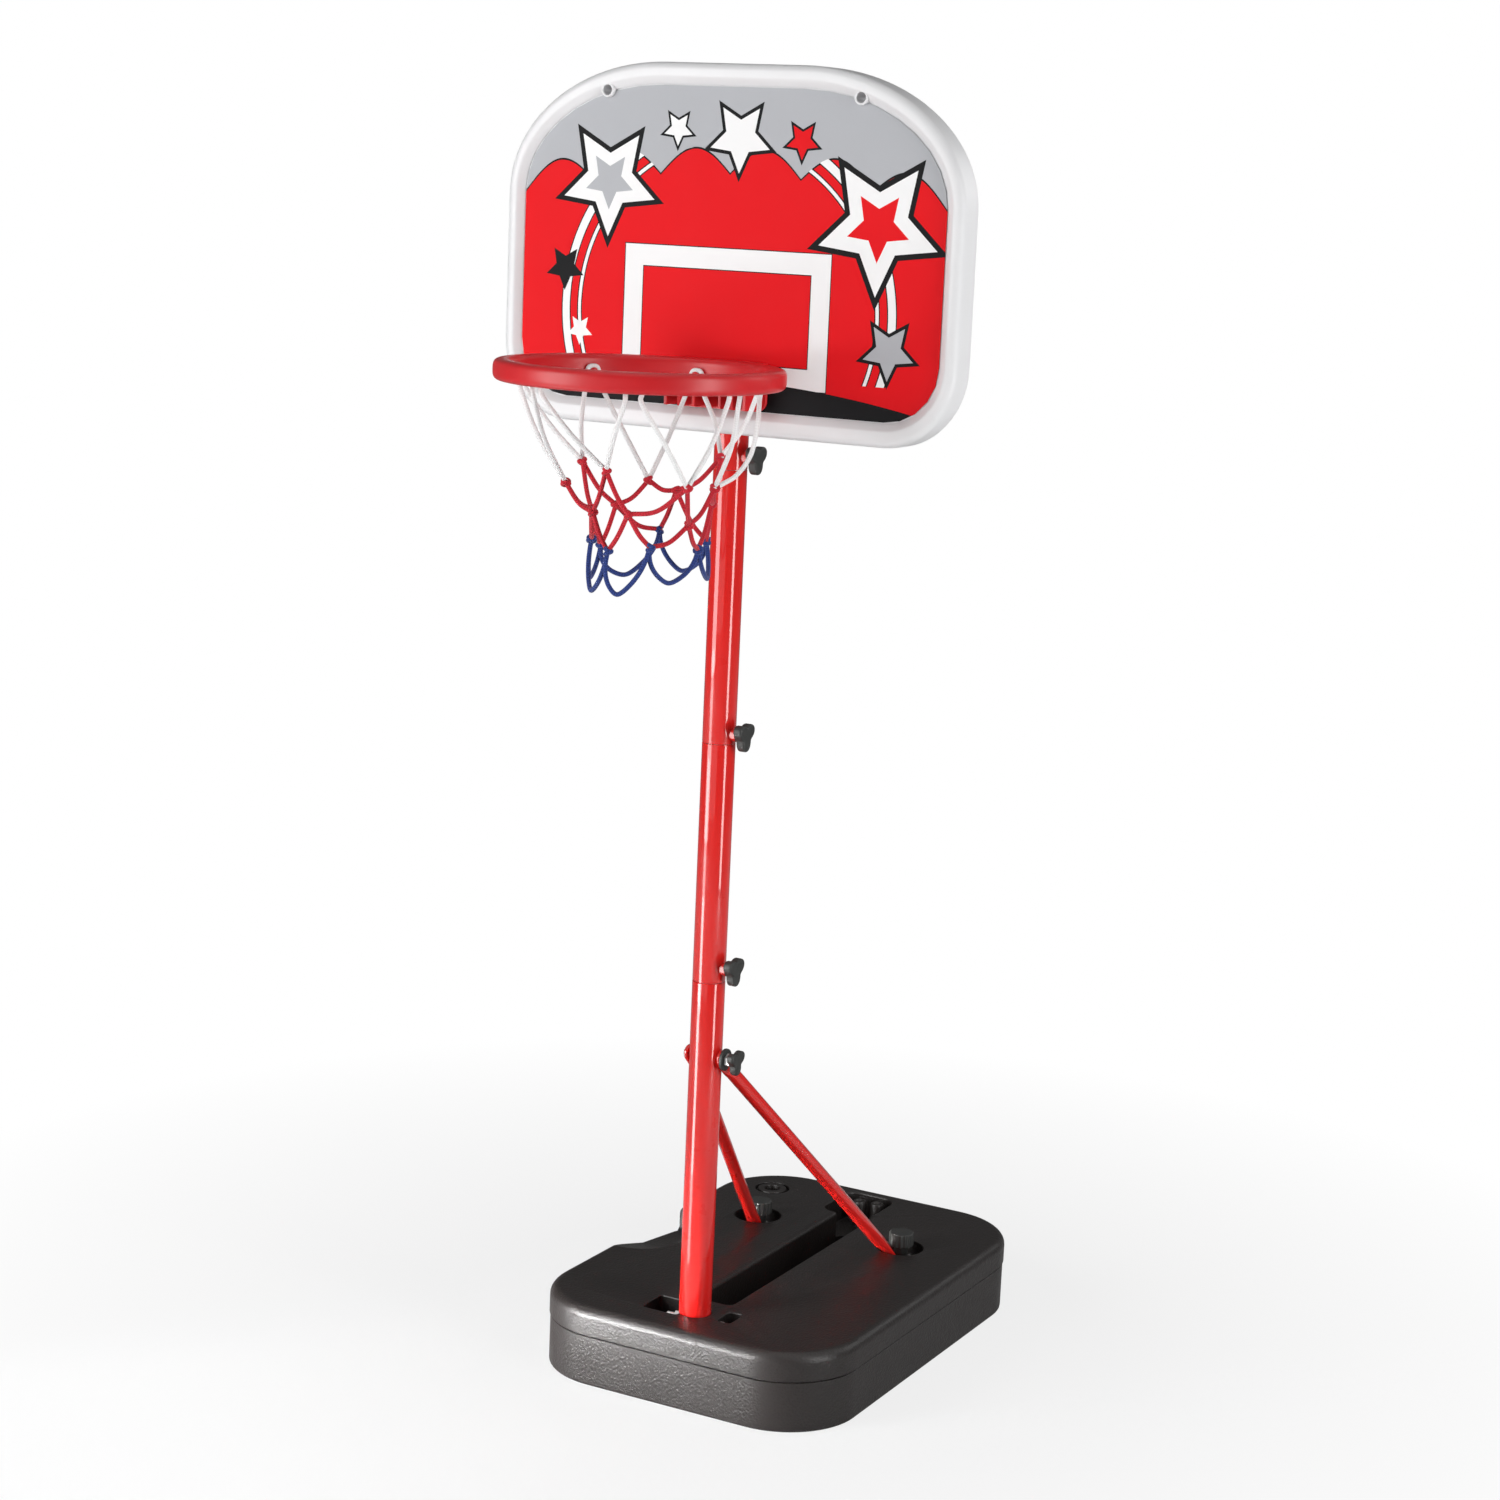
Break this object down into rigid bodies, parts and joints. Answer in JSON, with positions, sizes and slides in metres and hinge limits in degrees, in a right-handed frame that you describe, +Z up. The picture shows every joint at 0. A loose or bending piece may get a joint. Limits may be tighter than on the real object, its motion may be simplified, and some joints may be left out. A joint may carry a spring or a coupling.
{
  "type": "adjustable basketball stand",
  "caption": "Free-standing basketball stand for play at home, with a fillable base, a pole in sections with clamp knobs, braces, a printed board and a ring with a knotted net.",
  "frame": {"origin": "on the floor, on the pole's axis", "axes": "+Z up along the pole, -Y towards the ring, +X to the right of someone who faces the board's print from in front"},
  "size_m": [0.417, 0.6389, 1.1195],
  "materials": {
    "red_paint": "gloss red paint",
    "tank_plastic": "dark, finely pebbled",
    "knob_plastic": "dark grey, matte",
    "white_plastic": "white, satin",
    "print_ink": "printed sheet, satin",
    "ring_plastic": "gloss red",
    "zinc": "bright zinc plate",
    "net_fibre": "knotted cord, white, red and blue",
    "rubber": "black"
  },
  "bodies": {
    "base": {"base_tank": "tank_plastic", "cap_seal": "rubber", "lower_pole": "red_paint", "lower_neck": "zinc", "pole_bolt": "zinc", "pole_bolt_nut": "zinc", "left_brace": "red_paint", "right_brace": "red_paint", "brace_bolt": "zinc", "brace_washer": "knob_plastic", "brace_nut": "zinc", "left_foot_insert": "zinc", "right_foot_insert": "zinc", "left_foot_stud": "zinc", "right_foot_stud": "zinc", "left_foot_washer": "zinc", "right_foot_washer": "zinc"},
    "middle_section": {"middle_pole": "red_paint", "lower_knob_boss": "red_paint", "middle_neck": "zinc"},
    "upper_section": {"upper_pole": "red_paint", "middle_knob_boss": "red_paint", "upper_neck": "zinc"},
    "board": {"board_stem": "red_paint", "upper_knob_boss": "red_paint", "stem_cap": "knob_plastic", "lower_saddle": "zinc", "upper_saddle": "zinc", "lower_saddle_screw_left": "zinc", "lower_saddle_screw_right": "zinc", "upper_saddle_screw_left": "zinc", "upper_saddle_screw_right": "zinc", "backboard": "white_plastic", "print_sheet": "print_ink", "ring": "ring_plastic", "ring_screw_left": "zinc", "ring_screw_right": "zinc", "net": "net_fibre"},
    "lower_knob": {"lower_clamp_stud": "zinc", "lower_clamp_knob": "knob_plastic"},
    "middle_knob": {"middle_clamp_stud": "zinc", "middle_clamp_knob": "knob_plastic"},
    "upper_knob": {"upper_clamp_stud": "zinc", "upper_clamp_knob": "knob_plastic"},
    "brace_knob": {"brace_knob": "knob_plastic"},
    "left_foot_knob": {"left_foot_knob": "knob_plastic"},
    "right_foot_knob": {"right_foot_knob": "knob_plastic"},
    "fill_cap": {"fill_cap": "tank_plastic"}
  },
  "joints": [
    {"name": "middle_slide", "type": "slide", "parent": "base", "child": "middle_section", "axis": [0, 0, 1], "range_m": [0, 0.095]},
    {"name": "upper_slide", "type": "slide", "parent": "middle_section", "child": "upper_section", "axis": [0, 0, 1], "range_m": [0, 0.12]},
    {"name": "board_swivel", "type": "hinge", "parent": "upper_section", "child": "board", "pos_m": [0, 0, 0.8], "axis": [0, 0, 1], "continuous": true},
    {"name": "lower_knob_turn", "type": "hinge", "parent": "middle_section", "child": "lower_knob", "pos_m": [0.0178, 0, 0.3775], "axis": [1, 0, 0], "continuous": true},
    {"name": "middle_knob_turn", "type": "hinge", "parent": "upper_section", "child": "middle_knob", "pos_m": [0.0178, 0, 0.578], "axis": [1, 0, 0], "continuous": true},
    {"name": "upper_knob_turn", "type": "hinge", "parent": "board", "child": "upper_knob", "pos_m": [0.0178, 0, 0.8075], "axis": [1, 0, 0], "continuous": true},
    {"name": "brace_knob_turn", "type": "hinge", "parent": "base", "child": "brace_knob", "pos_m": [0.0258, 0, 0.299], "axis": [1, 0, 0], "continuous": true},
    {"name": "left_foot_knob_turn", "type": "hinge", "parent": "base", "child": "left_foot_knob", "pos_m": [-0.0745, 0.2515, 0.0591], "axis": [0, 0, 1], "continuous": true},
    {"name": "right_foot_knob_turn", "type": "hinge", "parent": "base", "child": "right_foot_knob", "pos_m": [0.0745, 0.2515, 0.0591], "axis": [0, 0, 1], "continuous": true},
    {"name": "fill_cap_lift", "type": "slide", "parent": "base", "child": "fill_cap", "axis": [0, 0, 1], "range_m": [0, 0.03]}
  ]
}
